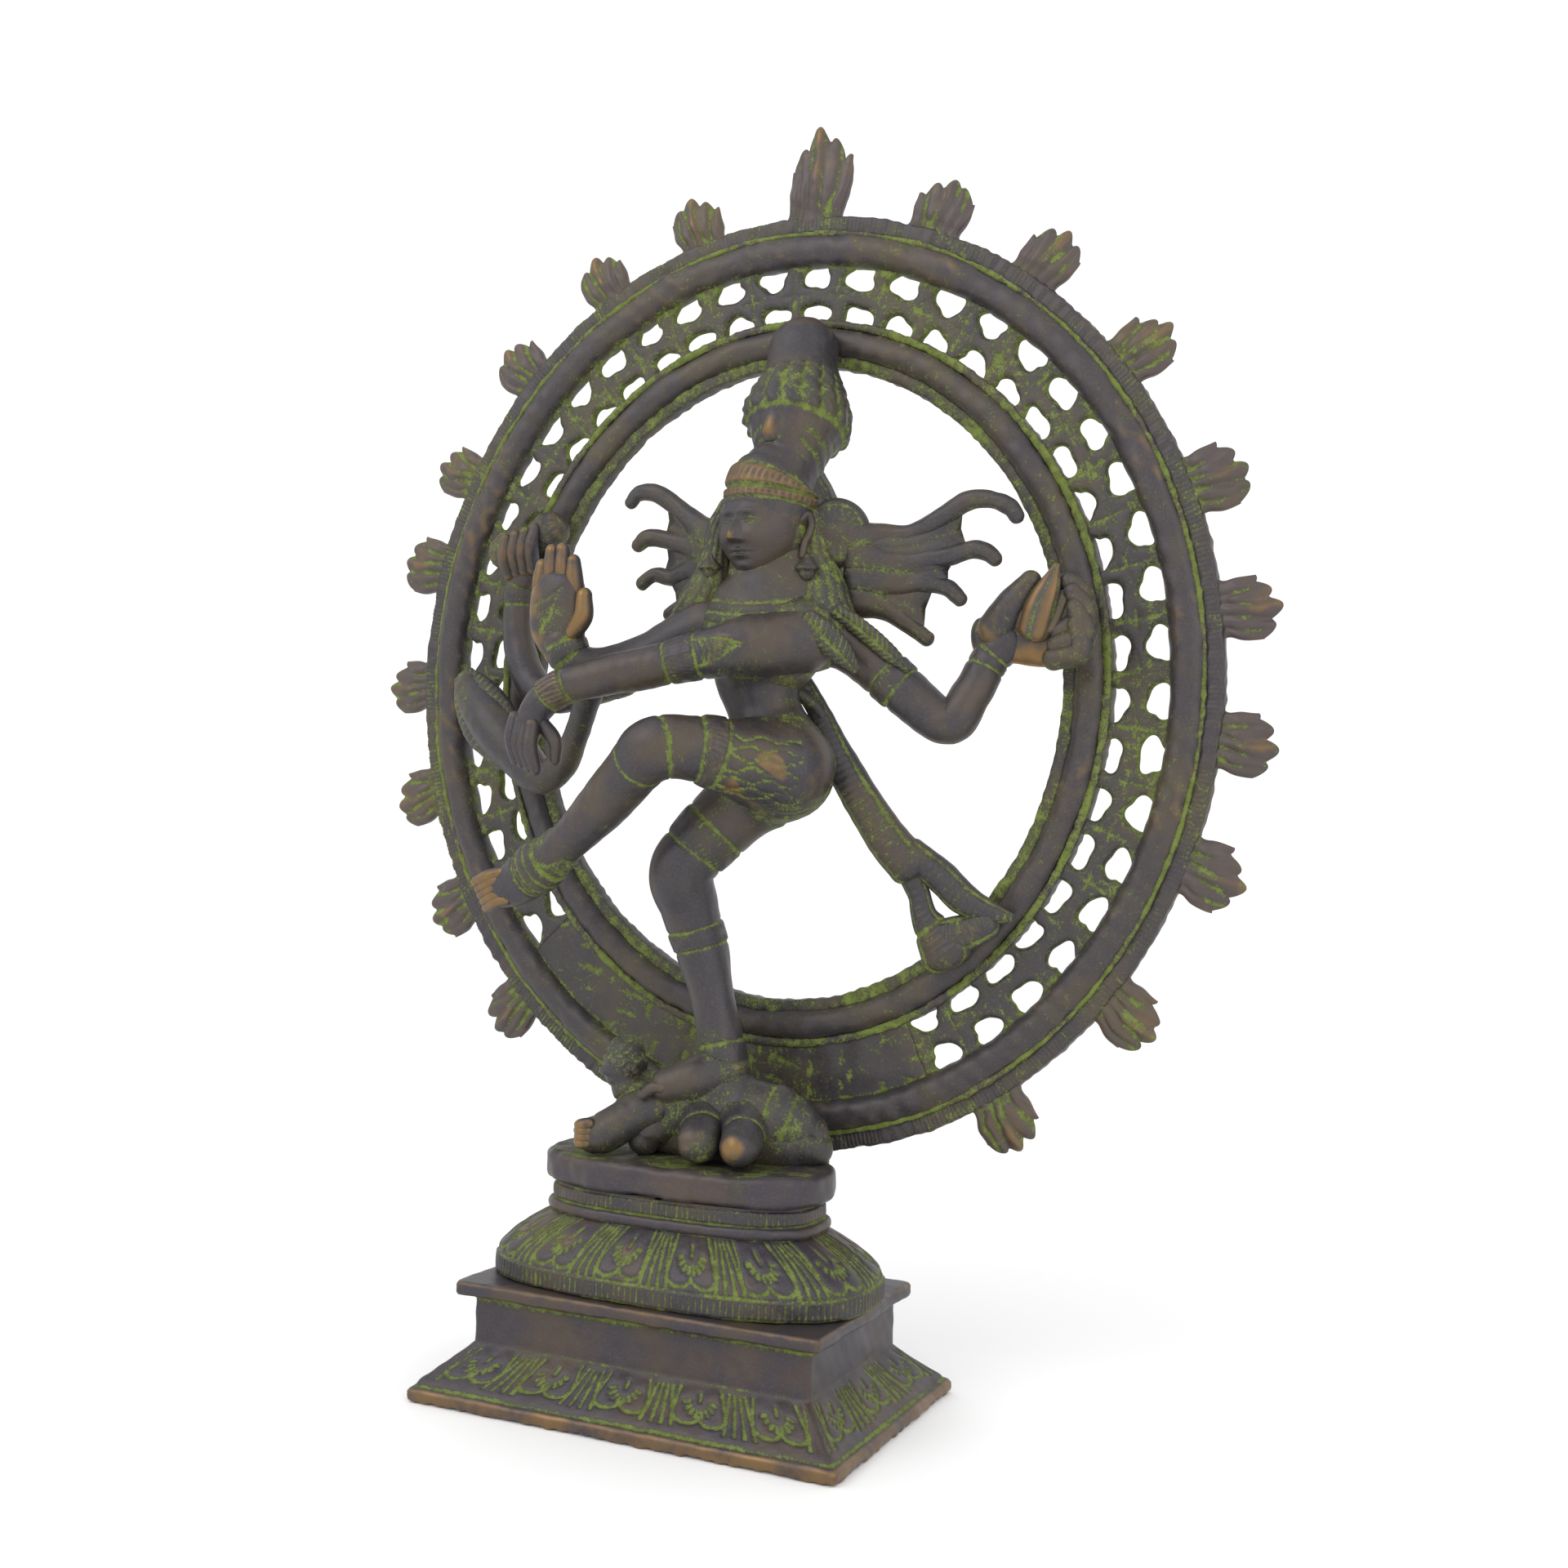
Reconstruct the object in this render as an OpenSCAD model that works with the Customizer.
// Cast brass dancing figure in a pierced ring of flames, on a two-tier lotus base.
// Millimetres. Origin: centre of the plinth's underside. X to the viewer's right, Y to the back, Z up.

/* [Plinth] */
// Length of the plinth's foot, left to right
plinth_w = 110; // [106:1:116]
// Depth of the plinth's foot, front to back
plinth_d = 71; // [69:1:76]
// Height of the upright rim at the plinth's foot
plinth_rim_h = 3.4; // [2.5:0.1:4.2]
// Height at which the sloped petal skirt meets the plain box
skirt_top_z = 12.7; // [11.5:0.1:13.5]
// Height of the plinth's flat top
plinth_h = 27.5; // [27.5:0.1:27.6]
// Casting wall of the hollow plinth and pedestal
wall = 3.2; // [2.6:0.1:3.6]

/* [Lotus pedestal] */
// Length of the petal dome at its foot
dome_w = 97; // [90:1:98]
// Depth of the petal dome at its foot
dome_d = 51; // [49:1:52]
// Length of the neck above the dome
neck_w = 67; // [65:0.5:68]
// Depth of the neck above the dome
neck_d = 31; // [29:0.5:32]

/* [Foot plate] */
// Length of the plate that carries the figure
plate_w = 73; // [70:0.5:75]
// Depth of the plate
plate_d = 35; // [33:0.5:36]
// Height of the plate's underside
plate_z = 50; // [50:0.1:50.1]
// Thickness of the plate
plate_t = 7.5; // [7.4:0.1:7.6]

/* [Flame ring] */
// Half the ring's width over its outer edge
ring_rx = 108.6; // [108:0.1:109]
// Half the ring's height over its outer edge
ring_rz = 115.6; // [115.4:0.1:115.8]
// Radial width of the whole band
ring_band = 37.2; // [37:0.1:37.4]
// Number of hole pairs pierced through the lattice
hole_pairs = 39; // [35:1:40]
// Nominal size of one lattice hole
hole_size = 5.8; // [4.8:0.1:6]
// Height of a flame above the ring's edge
flame_h = 13.5; // [12:0.5:14]
// Height of the top flame above the ring's edge
top_flame_h = 23.5; // [21:0.5:24]

/* [Fasteners] */
// Diameter of the tie bolt that clamps the castings together
bolt_d = 6; // [5:0.5:6]
// Clearance of pegs and bolt in their holes, per side
fit_gap = 0.15; // [0.1:0.05:0.2]

/* [Hidden] */

patina = [0.31, 0.29, 0.30];
verdigris = [0.36, 0.42, 0.22];
worn_brass = [0.55, 0.44, 0.24];

plate_top = plate_z + plate_t;
box_in = 11.2;        // the box and the skirt's top stand this far inside the foot
slab_in = 7.9;        // the slab over the box stands this far inside the foot
box_top_z = 23.3;
slab_edge_z = 25;

dome_band_h = 5;      // upright milled band at the petal dome's foot
dome_h = 16.5;        // height of the petal dome over the plinth, its foot band included
dome_power = 2.8;     // how boxy the dome's outline is; 2 is a plain ellipse
dome_bulge = 0.42;    // 0 makes the dome a straight cone, 1 a quarter ellipse

ring_c = [10.8, 25, 171.8];   // centre of the ring, in its own plane
flange_w = 4;                 // bands of the ring's profile, from the outer edge inwards
ridge_w = 8.5;
lattice_end = 27.2;
inner_ridge_w = 7.5;
lattice_t = 3;
ridge_t = 8.5;
inner_ridge_t = 7.6;
pierced_from = 152;           // pierced arc, degrees from the top, clockwise seen from the front
pierced_to = -129.5;
flame_angles = [-136, -120, -104.5, -90, -74, -61, -45, -29, -14, 19.5, 34.5, 50.5, 67.5, 82, 96.5,
    111, 129, 148];
top_flame_angle = 2.5;
flame_t = 4.5;
top_flame_t = 4.8;

rivet_x = 17.5;       // rivet on the crown's stem, in the ring's plane
rivet_z = 255.5;
rivet_r = 1.3;
disc_c = [27.5, 11, 205.5];   // centre of the disc behind the head
disc_r = 11;
disc_t = 3.4;
disc_turn = 16;

// Figure: each point is [x, y, z, radius] of a round section on a limb's centre line
limb_fn = 12;
spine = [[21, 3, 149.5, 11.5], [18.5, 2.5, 157, 9.3], [16, 2, 164, 8.4], [14.5, 2, 171.5, 10.4],
    [14, 1, 179, 11.4]];
collar = [[14, 1, 180, 10], [11.5, 1, 188, 7.6], [12, 1, 196, 6.4]];
shoulders = [[3, 2, 181.5, 7.4], [27, 0, 181, 8]];
skull = [[14.5, 1.5, 211, 9.6], [14.2, 0.5, 206, 9.2], [13.2, -2.5, 201, 6]];
crown_line = [[18, 4, 219, 8.6], [19, 5, 224, 8], [19.4, 8, 233, 11.8], [18.5, 13, 242.5, 9.6],
    [16.5, 17, 250, 9.4]];
crossing = [[28, -3, 179.5, 7.4], [16.5, -9, 178, 7], [3, -13, 175, 5.2], [-12.5, -17, 171.5, 5],
    [-25, -20, 168.5, 4.6], [-32, -21, 163.5, 4.2], [-35, -22, 156.5, 3.6], [-36, -22, 152, 3]];
blessing = [[1, 1, 184, 7], [-11.5, -3, 177.5, 5.2], [-22, -8, 173.5, 5], [-28, -12, 174.5, 5.2]];
blessing_hand = [[-30.5, -13, 179, 6], [-31.5, -14, 188.5, 6.8], [-30, -14, 199.5, 4.2]];
blessing_thumb = [[-27, -15, 180.5, 3], [-23, -16, 185, 2.8], [-22, -16, 191.5, 2]];
drumming = [[-2, 6, 180.5, 6.6], [-18, 8, 175.5, 5], [-36, 11, 170, 4.6], [-54, 14.5, 169, 4.6],
    [-62, 16, 179.5, 4.2], [-63.5, 16.5, 194.5, 3.8], [-61.5, 16.5, 202, 4]];
flaming = [[30, 3, 183.5, 7.8], [39, 5.5, 177.5, 6.5], [50, 7, 168, 5.8], [60, 8, 161.5, 5.2],
    [64, 10, 168, 4.8], [67.5, 12.5, 176, 4.6], [72, 13.5, 181.5, 5.6]];
flame_hand = [[72, 13.5, 181.5, 5.6], [79, 14.5, 182, 7], [86, 15, 180.5, 6.4]];
serpent = [[-28.5, -4, 167.5, 3.4], [-34.5, 0, 157.5, 3.4], [-40, 3, 150.5, 4.2],
    [-47.5, 5, 147, 4.8], [-55, 7, 151.5, 6], [-66, 10, 161, 7], [-74.5, 12, 169.5, 5]];
straight_leg = [[15.5, 4, 146.5, 10], [7, 2, 138.5, 9], [-2, -2, 126.5, 7.5], [-1.5, 0, 116.5, 7],
    [0.5, 2, 107, 6.4], [3.5, 3, 95.5, 5.6], [6.8, 3, 83, 6.2], [7, 3, 79, 6.6]];
straight_foot = [[7, 3, 79, 6], [2, -2, 77, 4.6], [-7, -6, 74.5, 3.2]];
lifted_leg = [[23, 0, 150.5, 11.5], [15, -10, 152, 9.2], [8, -17, 154, 7.6], [0, -22, 153, 7],
    [-10, -20, 145.5, 6.2], [-21, -17, 136, 5.4], [-30, -15, 129, 4.8]];
lifted_foot = [[-30, -15, 129, 5], [-37, -13, 125, 5.4], [-44.5, -11, 121, 4.8],
    [-52, -9.5, 118.5, 3.8]];
girdle = [[25, 8, 168, 2.6], [30, 10, 157.5, 3], [34, 11, 148.5, 4.4], [42.5, 14, 135, 4.8],
    [50.5, 16, 124.5, 5]];
girdle_end_a = [[50.5, 16, 124.5, 4.4], [54.5, 17.5, 116, 4.6], [60, 17.5, 111, 5]];
girdle_end_b = [[50.5, 16, 124.5, 4.2], [61.5, 18, 121, 4], [70, 18, 120.5, 2]];
dwarf_back = [[-13, -1, 69.5, 6.2], [-1, 1, 68.5, 6.8], [11, 3, 68, 7], [21.5, 5, 66.5, 6.8],
    [27, 9, 62.5, 4.6]];
dwarf_head = [-17, -2, 78, 5.8];
dwarf_fist = [[-13, -5, 69, 4], [-18.5, -10.5, 63.5, 4.4], [-23, -10.5, 62, 4]];
dwarf_knees = [[7.5, -9, 64.5, 5.4], [17.5, -8.5, 64, 5.2]];

// Hair strands: [root, bend, tip] of each, as [x, y, z, radius]
strands_left = [
    [[2, 4, 207, 4.6], [-14, 7, 214, 3.6], [-26.5, 8, 216.5, 1.9]],
    [[2, 4, 203, 4.6], [-13, 7, 205, 3.6], [-24, 8, 206, 1.9]],
    [[2, 4, 198, 4.6], [-12, 7, 199, 3.4], [-22.5, 8, 196.5, 1.9]],
    [[3, 4, 193, 4.4], [-5, 6, 191, 3], [-11, 6, 186.5, 1.8]]];
strands_right = [
    [[34, 9, 206, 4.4], [53, 11, 208, 3.6], [65, 12, 213.5, 2.2], [74, 12, 208, 1.9]],
    [[35, 9, 201, 4.4], [57, 11, 202, 3.8], [69, 12, 200, 1.9]],
    [[36, 9, 196, 4.4], [52, 11, 195, 3.8], [61, 12, 190, 1.9]],
    [[36, 9, 190, 4.2], [46, 11, 186, 3.6], [53, 12, 181, 1.9]]];

// One pose point without its radius
function at(p) = [p[0], p[1], p[2]];

// A point a given share of the way from a to b
function between(a, b, share) = a + (b - a) * share;

// Points of an ellipse
function oval(a, b, n = 120) = [for (i = [0:n - 1]) [a * cos(360 * i / n), b * sin(360 * i / n)]];

// One level of a loft: a superellipse with half axes a and b; a high power makes it boxy
function level(a, b, z, power, n) = [for (i = [0:n - 1])
    let (t = 360 * i / n, c = cos(t), s = sin(t))
    [a * sign(c) * pow(abs(c), 2 / power), b * sign(s) * pow(abs(s), 2 / power), z]];

// One level of a loft: a rectangle with half sides a and b
function corner_level(a, b, z) = [[a, b, z], [-a, b, z], [-a, -b, z], [a, -b, z]];

// Closed solid through a stack of levels that have the same number of points
module loft(levels) {
    n = len(levels[0]);
    last = len(levels) - 1;
    points = [for (ring = levels) each ring];
    sides = [for (k = [0:last - 1], i = [0:n - 1]) let (j = (i + 1) % n)
        each [[k * n + i, (k + 1) * n + i, (k + 1) * n + j], [k * n + i, (k + 1) * n + j, k * n + j]]];
    foot = [for (i = [0:n - 1]) i];
    top = [for (i = [n - 1:-1:0]) last * n + i];
    polyhedron(points, concat([foot], sides, [top]));
}

// Round-sectioned limb through a list of [x, y, z, radius]
module limb(points, fn = limb_fn) {
    for (i = [0:len(points) - 2]) hull() {
        translate(at(points[i])) sphere(r = points[i][3], $fn = fn);
        translate(at(points[i + 1])) sphere(r = points[i + 1][3], $fn = fn);
    }
}

// Straight round peg from point p to point q
module peg(p, q, r) {
    v = q - p;
    translate(p) rotate([0, acos(v[2] / norm(v)), atan2(v[1], v[0])])
        cylinder(r = r, h = norm(v), $fn = 24);
}

// Peg that ties a limb's first point to a point inside the body it joins
module limb_peg(limb_points, inside, extra = 0) {
    peg(at(limb_points[1]), inside, 2.2 + extra);
}

// --- shapes shared by neighbours ---

module torso_shape() {
    limb(spine);
    limb(collar);
    hull() for (p = concat(shoulders, [spine[3]])) translate(at(p)) sphere(r = p[3], $fn = limb_fn);
}

module skull_shape() {
    hull() for (p = skull) translate(at(p)) sphere(r = p[3], $fn = 16);
}

module plate_shape() {
    edge = 1.6;
    loft([for (step = [[2.4, 0], [0.4, 1.2], [0, 2.6], [0, plate_t - edge], [0.8, plate_t - 0.5], [2, plate_t]])
        level(plate_w / 2 - step[0], plate_d / 2 - step[0], plate_z + step[1], 2.8, 48)]);
}

// Full-thickness band of the ring, used to trim what leans on it
module ring_space() {
    ring_layer(0, ring_band, ridge_t);
}

// Flat oval band between two offsets from the ring's outer edge
module ring_layer(outer, inner, thickness) {
    translate([ring_c[0], ring_c[1] + thickness / 2, ring_c[2]]) rotate([90, 0, 0])
        linear_extrude(thickness) difference() {
            polygon(oval(ring_rx - outer, ring_rz - outer));
            polygon(oval(ring_rx - inner, ring_rz - inner));
        }
}

// Pegs seen from the body, so that every socket matches its peg
module shoulder_pegs(extra = 0) {
    limb_peg(crossing, [22, 1, 180], extra);
    limb_peg(blessing, [8, 2, 181], extra);
    limb_peg(drumming, [9, 5, 179], extra);
    limb_peg(flaming, [21, 2, 178], extra);
}

module hip_pegs(extra = 0) {
    limb_peg(straight_leg, [19, 4, 150], extra);
    limb_peg(lifted_leg, [21, 3, 150], extra);
}

module neck_peg(extra = 0) {
    peg([12.5, 1, 192], [13.5, 1, 206], 2.6 + extra);
}

module crown_peg(extra = 0) {
    peg([15.5, 2.5, 213], [18, 4.5, 224], 2.6 + extra);
}

module sole_peg(extra = 0) {
    peg([7, 3, 68], [7, 3, 84], 2.2 + extra);
}

module dwarf_pegs(extra = 0) {
    for (x = [-7, 18]) translate([x, 2, plate_top - 4]) cylinder(r = 2 + extra, h = 12, $fn = 24);
}

// --- base ---

module plinth() {
    hw = plinth_w / 2;
    hd = plinth_d / 2;
    cavity_in = box_in + wall;
    color(patina) difference() {
        loft([for (s = [[0.4, 0], [0, 0.5], [0, plinth_rim_h], [1, plinth_rim_h + 0.5], [box_in, skirt_top_z],
            [box_in, box_top_z], [slab_in, slab_edge_z], [slab_in, plinth_h - 0.5], [slab_in + 0.6, plinth_h]])
            corner_level(hw - s[0], hd - s[0], s[1])]);
        loft([for (s = [[wall, -1], [wall, 1.5], [cavity_in, skirt_top_z - 1], [cavity_in, plinth_h - wall]])
            corner_level(hw - s[0], hd - s[0], s[1])]);
        translate([0, 0, plinth_h - wall - 1]) cylinder(d = bolt_d + 2 * fit_gap, h = wall + 2, $fn = 32);
    }
}

module lotus_pedestal() {
    dw = dome_w / 2;
    dd = dome_d / 2;
    fall_w = dw - neck_w / 2;
    fall_d = dd - neck_d / 2;
    band_z = plinth_h + dome_band_h;
    steps = [for (k = [0:8]) k * 90 / 8];
    color(patina) difference() {
        loft(concat([level(dw, dd, plinth_h, dome_power, 64)],
            [for (t = steps, in = [1 - cos(t)], up = [dome_bulge * sin(t) + (1 - dome_bulge) * in])
                level(dw - fall_w * in, dd - fall_d * in, band_z + (dome_h - dome_band_h) * up, dome_power, 64)],
            [level(neck_w / 2 + 1, neck_d / 2 + 1, 45.6, 2.9, 64), level(neck_w / 2, neck_d / 2, 46.4, 2.9, 64),
            level(neck_w / 2 + 0.6, neck_d / 2 + 0.6, plate_z, 2.9, 64)]));
        loft([level(dw - wall, dd - wall, plinth_h - 1, dome_power, 32), level(dw - wall, dd - wall, 32, dome_power, 32),
            level(neck_w / 2 - 1, neck_d / 2 - 1, 39, 3, 32), level(neck_w / 2 - wall, neck_d / 2 - wall, 43, 3, 32),
            level(neck_w / 2 - wall, neck_d / 2 - wall, plate_z - wall, 3, 32)]);
        translate([0, 0, plate_z - wall - 1]) cylinder(d = bolt_d + 2 * fit_gap, h = wall + 2, $fn = 32);
    }
}

module foot_plate() {
    color(patina) difference() {
        plate_shape();
        translate([0, 0, plate_z - 1]) cylinder(d = bolt_d, h = 6, $fn = 32);
        dwarf_pegs(fit_gap);
    }
}

module tie_bolt() {
    color("gray") translate([0, 0, 14]) cylinder(d = bolt_d, h = plate_z + 5 - 14, $fn = 32);
}

module tie_washer() {
    washer_t = 3;
    color("gray") difference() {
        translate([-9, -9, plinth_h - wall - washer_t]) cube([18, 18, washer_t]);
        translate([0, 0, plinth_h - wall - washer_t - 1])
            cylinder(d = bolt_d + 2 * fit_gap, h = washer_t + 2, $fn = 32);
    }
}

module tie_nut() {
    nut_h = 5;
    color("gray") translate([0, 0, plinth_h - wall - 3 - nut_h]) difference() {
        cylinder(d = 11.5, h = nut_h, $fn = 6);
        translate([0, 0, -1]) cylinder(d = bolt_d, h = nut_h + 2, $fn = 32);
    }
}

module dwarf_shape() {
    limb(dwarf_back);
    limb(dwarf_fist, 10);
    translate(at(dwarf_head)) sphere(r = dwarf_head[3], $fn = 14);
    for (p = dwarf_knees) hull() {
        translate(at(p)) sphere(r = p[3], $fn = 10);
        translate([p[0] - 1, 0, 66]) sphere(r = 4.5, $fn = 10);
    }
}

module dwarf() {
    color(patina) union() {
        difference() {
            dwarf_shape();
            translate([-60, -40, plate_top - 30]) cube([120, 80, 30]);
            standing_leg_shape();
            sole_peg(fit_gap);
        }
        dwarf_pegs();
    }
}

// --- figure ---

module standing_leg_shape() {
    limb(straight_leg);
    limb(straight_foot, 10);
}

module torso() {
    color(patina) difference() {
        torso_shape();
        shoulder_pegs(fit_gap);
        hip_pegs(fit_gap);
        neck_peg(fit_gap);
    }
}

module head() {
    color(patina) difference() {
        union() {
            difference() {
                skull_shape();
                torso_shape();
            }
            neck_peg();
        }
        crown_peg(fit_gap);
    }
}

module crown() {
    color(patina) union() {
        difference() {
            limb(crown_line, 16);
            skull_shape();
            ring_space();
            peg([rivet_x, 14, rivet_z], [rivet_x, 24, rivet_z], rivet_r);
        }
        crown_peg();
    }
}

module crown_rivet() {
    color(worn_brass) translate([rivet_x, 20.8, rivet_z]) rotate([90, 0, 0]) cylinder(r = rivet_r, h = 1.5, $fn = 24);
}

// The head disc, with extra thickness towards the back
module disc_shape(extra = 0) {
    translate(disc_c) rotate([90, 0, disc_turn]) translate([0, 0, -extra])
        cylinder(r = disc_r, h = disc_t + extra, $fn = 40);
}

module head_disc() {
    color(patina) difference() {
        disc_shape();
        skull_shape();
        torso_shape();
    }
}

module earrings() {
    color(patina) for (p = [[25, -1, 196.5], [2.2, -1.5, 197.5]]) difference() {
        translate(p) sphere(r = 3.4, $fn = 14);
        skull_shape();
        torso_shape();
    }
}

module strands(list) {
    for (s = list) limb(s, 8);
}

module hair_fan_left() {
    color(patina) difference() {
        union() {
            strands(strands_left);
            hull() for (s = strands_left) translate(at(s[0])) sphere(r = 3, $fn = 8);
        }
        skull_shape();
        torso_shape();
        arm_blessing_shape();
        arm_drum_shape();
        earrings();
    }
}

module hair_fan_right() {
    color(patina) difference() {
        union() {
            strands(strands_right);
            hull() for (s = strands_right) translate(between(at(s[0]), at(s[1]), 0.5)) sphere(r = 3, $fn = 8);
        }
        skull_shape();
        torso_shape();
        arm_flame_shape();
        disc_shape(4);
    }
}

module arm_crossing_shape() {
    limb(crossing);
}

module arm_crossing() {
    color(patina) union() {
        difference() {
            arm_crossing_shape();
            torso_shape();
        }
        limb_peg(crossing, [22, 1, 180]);
    }
}

module arm_blessing_shape() {
    limb(blessing);
    limb(blessing_hand);
    limb(blessing_thumb, 8);
}

module arm_blessing() {
    color(patina) union() {
        difference() {
            arm_blessing_shape();
            torso_shape();
            arm_crossing_shape();
        }
        limb_peg(blessing, [8, 2, 181]);
    }
}

module arm_drum_shape() {
    limb(drumming);
}

module arm_drum() {
    color(patina) union() {
        difference() {
            arm_drum_shape();
            torso_shape();
            arm_crossing_shape();
            arm_blessing_shape();
            ring_space();
        }
        limb_peg(drumming, [9, 5, 179]);
    }
}

module drum() {
    color(patina) difference() {
        hull() {
            translate([-65.5, 14.5, 206.5]) rotate([0, 70, 0]) cylinder(r = 5, h = 1, center = true, $fn = 24);
            translate([-54, 15.5, 211]) rotate([0, 70, 0]) cylinder(r = 5, h = 1, center = true, $fn = 24);
        }
        ring_space();
        arm_drum_shape();
    }
}

module arm_flame_shape() {
    limb(flaming);
    limb(flame_hand);
}

module arm_flame() {
    color(patina) union() {
        difference() {
            arm_flame_shape();
            torso_shape();
            ring_space();
        }
        limb_peg(flaming, [21, 2, 178]);
    }
}

module palm_flame() {
    color(worn_brass) difference() {
        hull() {
            translate([80, 10, 184]) sphere(r = 4, $fn = 12);
            translate([83, 10.5, 189]) sphere(r = 3.4, $fn = 12);
            translate([85, 11, 196]) sphere(r = 1, $fn = 12);
        }
        arm_flame_shape();
    }
}

module cobra() {
    color(patina) difference() {
        limb(serpent);
        arm_blessing_shape();
        arm_crossing_shape();
        arm_drum_shape();
        ring_space();
    }
}

module standing_leg() {
    color(patina) union() {
        difference() {
            standing_leg_shape();
            torso_shape();
            raised_leg_shape();
        }
        limb_peg(straight_leg, [19, 4, 150]);
        sole_peg();
    }
}

module raised_leg_shape() {
    limb(lifted_leg);
    limb(lifted_foot, 10);
}

module raised_leg() {
    color(patina) union() {
        difference() {
            raised_leg_shape();
            torso_shape();
        }
        limb_peg(lifted_leg, [21, 3, 150]);
    }
}

module waist_sash() {
    color(patina) difference() {
        union() {
            limb(girdle, 10);
            limb(girdle_end_a, 10);
            limb(girdle_end_b, 10);
        }
        torso_shape();
        raised_leg_shape();
        ring_space();
    }
}

module shoulder_tassels() {
    color(patina) difference() {
        for (t = [[[34, -4, 182.5], [39, -2.5, 175]], [[42, 0, 181.5], [47.5, 1.5, 176]]]) hull() {
            translate(t[0]) sphere(r = 3, $fn = 10);
            translate(t[1]) sphere(r = 1.6, $fn = 10);
        }
        arm_flame_shape();
        arm_crossing_shape();
        torso_shape();
    }
}

// --- flame ring ---

// Rounded triangle, pointing along -Y, about one hole_size across
module lattice_hole() {
    s = hole_size / 2;
    polygon([[-s, 0.45 * s], [-0.75 * s, 0.95 * s], [0.75 * s, 0.95 * s], [s, 0.45 * s], [0.3 * s, -s],
        [-0.3 * s, -s]]);
}

// Places children on the band, a given distance in from the outer edge, pointing outwards
module on_band(angle, inset) {
    a = ring_rx - inset;
    b = ring_rz - inset;
    x = a * sin(angle);
    z = b * cos(angle);
    translate([x, z]) rotate(atan2(z / (b * b), x / (a * a)) - 90) children();
}

module hole_pattern() {
    pitch = (pierced_from - pierced_to) / (hole_pairs - 1);
    for (k = [0:hole_pairs - 1]) {
        on_band(pierced_to + k * pitch, 15.4) lattice_hole();
        on_band(pierced_to + k * pitch, 23.4) rotate(180) lattice_hole();
    }
}

module halo_band() {
    ridge_in = flange_w + ridge_w;
    inner_from = ring_band - 2.5 - inner_ridge_w;
    color(patina) union() {
        difference() {
            ring_layer(0, ring_band, lattice_t);
            translate([ring_c[0], ring_c[1] + 5, ring_c[2]]) rotate([90, 0, 0])
                linear_extrude(10) hole_pattern();
        }
        for (s = [[0, 5], [1.2, 7.2], [2.8, ridge_t]]) ring_layer(flange_w + s[0], ridge_in - s[0], s[1]);
        for (s = [[0, 4.4], [1.1, 6.4], [2.6, inner_ridge_t]])
            ring_layer(inner_from + s[0], inner_from + inner_ridge_w - s[0], s[1]);
    }
}

// Leaf of pointed tongues, rooted at the origin and pointing along +Y
module flame_leaf(h, w) {
    half = [[0.26, -0.05], [0.3, 0.1], [0.5, 0.32], [0.52, 0.5], [0.36, 0.56], [0.4, 0.76], [0.2, 0.76], [0.12, 0.88]];
    right = [for (p = half) [p[0] * w, p[1] * h]];
    left = [for (i = [len(half) - 1:-1:0]) [-half[i][0] * w, half[i][1] * h]];
    polygon(concat(right, [[0, h]], left));
}

module ring_flame(angle, h, w, t) {
    translate([ring_c[0], ring_c[1] + t / 2, ring_c[2]]) rotate([90, 0, 0])
        linear_extrude(t) difference() {
            on_band(angle, 0) flame_leaf(h, w);
            polygon(oval(ring_rx, ring_rz));
        }
}

module halo_flames() {
    color(worn_brass) for (a = flame_angles) ring_flame(a, flame_h, 13.5, flame_t);
}

module halo_top_flame() {
    color(worn_brass) ring_flame(top_flame_angle, top_flame_h, 16.5, top_flame_t);
}

module halo_bracket() {
    color(patina) difference() {
        hull() {
            translate([-1, 8, plate_z + 1]) cube([27, 16, 5]);
            translate([3, 15, plate_z + 3]) cube([19, 6, 17]);
            translate([2, 15, plate_z]) cube([20, 13, 5]);
        }
        plate_shape();
        ring_space();
        dwarf_shape();
    }
}

plinth();
lotus_pedestal();
foot_plate();
tie_bolt();
tie_washer();
tie_nut();
dwarf();
torso();
head();
crown();
crown_rivet();
head_disc();
earrings();
hair_fan_left();
hair_fan_right();
arm_drum();
drum();
arm_blessing();
arm_crossing();
arm_flame();
palm_flame();
cobra();
standing_leg();
raised_leg();
waist_sash();
shoulder_tassels();
halo_band();
halo_flames();
halo_top_flame();
halo_bracket();
